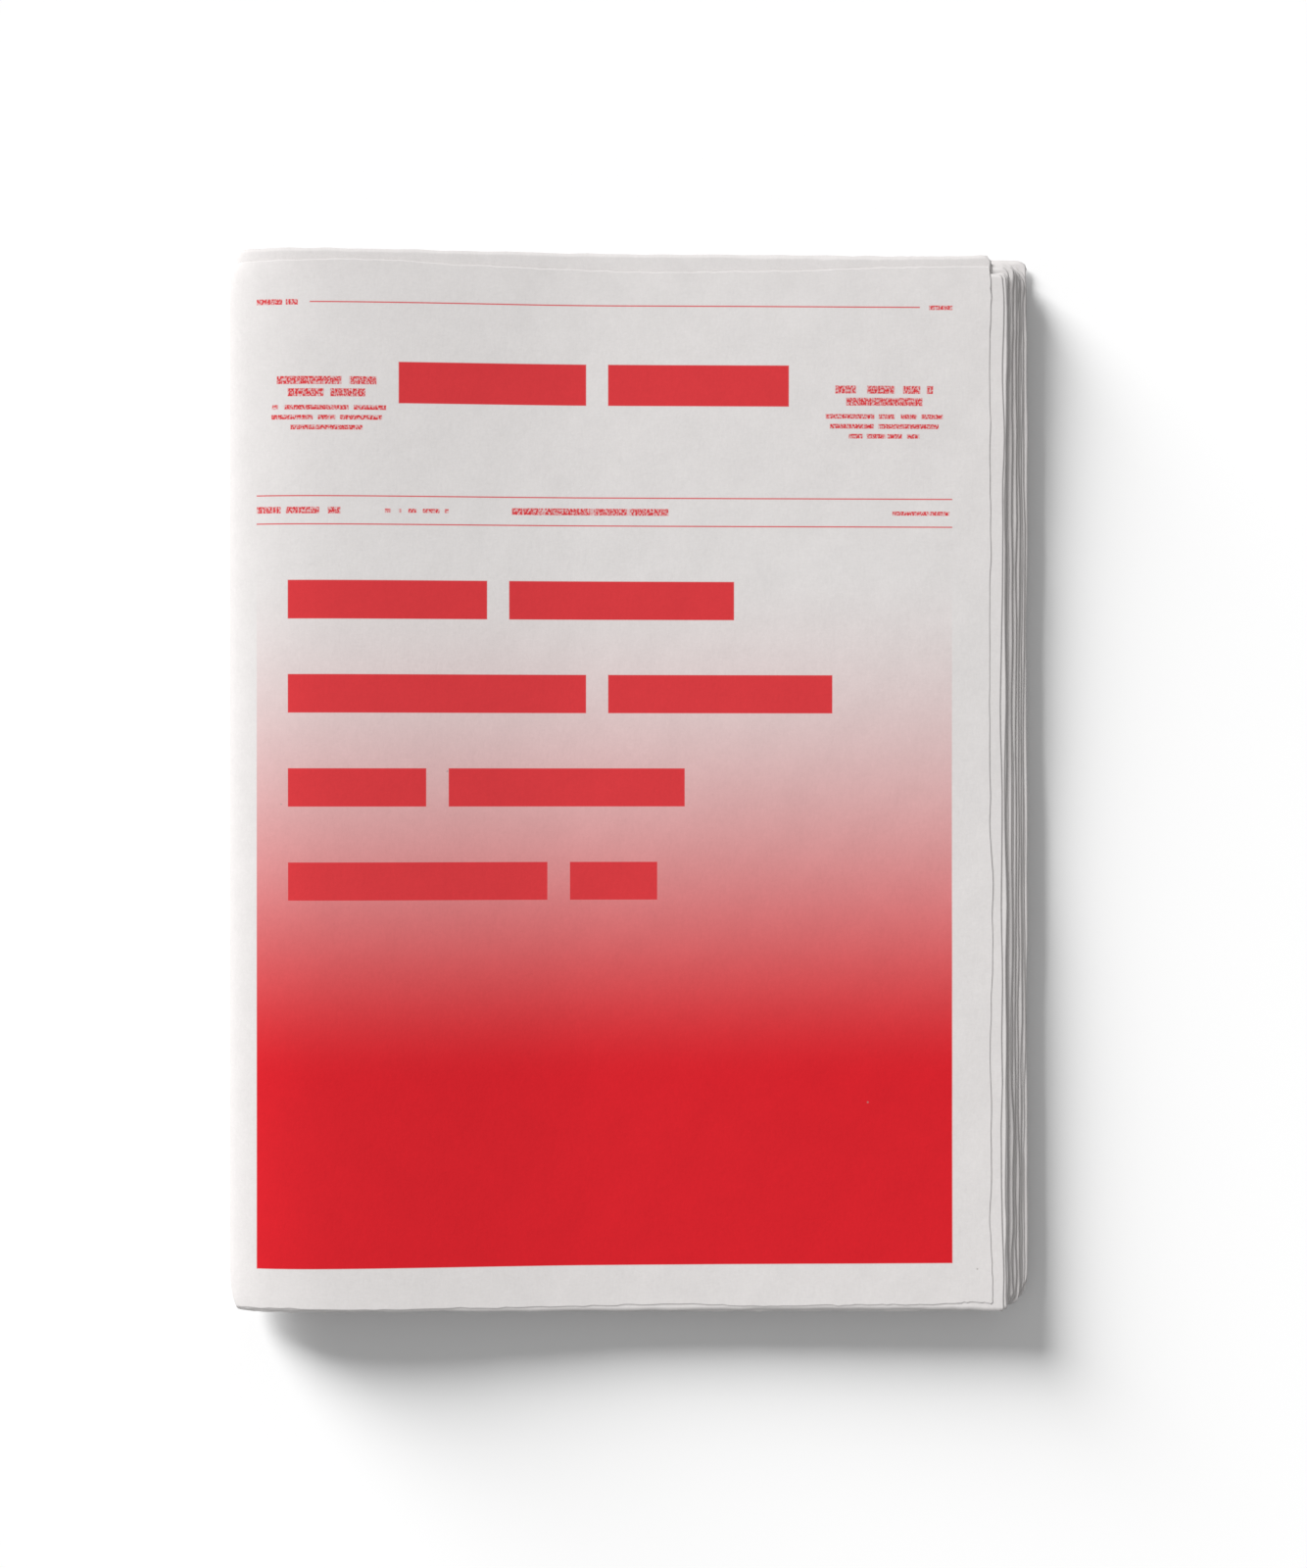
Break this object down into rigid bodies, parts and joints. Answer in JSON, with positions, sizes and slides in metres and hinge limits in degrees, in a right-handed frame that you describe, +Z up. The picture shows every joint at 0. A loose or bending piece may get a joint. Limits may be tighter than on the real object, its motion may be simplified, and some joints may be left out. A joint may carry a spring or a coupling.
{
  "type": "folded newspaper",
  "caption": "Tabloid newspaper lying on its back page: loose newsprint sheets, each folded once and nested, with a rounded spine and a stepped fore-edge.",
  "frame": {"origin": "middle of the underside of the whole stack's box, on the surface that the newspaper lies on", "axes": "+Y up the page to the head, +X from the spine to the fore-edge, +Z up from the back page to the front page"},
  "size_m": [0.292, 0.386, 0.017],
  "materials": {
    "cover_newsprint": "uncoated grey-white newsprint, matt, front page printed with red bars and rules and a field that fades from bare paper to red",
    "newsprint": "uncoated grey-white newsprint, matt, unprinted"
  },
  "bodies": {
    "root": {"sheet_01_outer": "cover_newsprint", "sheet_02": "newsprint", "sheet_03": "newsprint", "sheet_04": "newsprint", "sheet_05": "newsprint", "sheet_06": "newsprint", "sheet_07": "newsprint", "sheet_08": "newsprint", "sheet_09": "newsprint", "sheet_10": "newsprint", "sheet_11": "newsprint", "sheet_12": "newsprint", "sheet_13": "newsprint", "sheet_14": "newsprint", "sheet_15": "newsprint", "sheet_16": "newsprint", "sheet_17": "newsprint", "sheet_18": "newsprint", "sheet_19": "newsprint", "sheet_20": "newsprint", "sheet_21": "newsprint", "sheet_22": "newsprint", "sheet_23": "newsprint", "sheet_24_centre": "newsprint"}
  },
  "joints": []
}
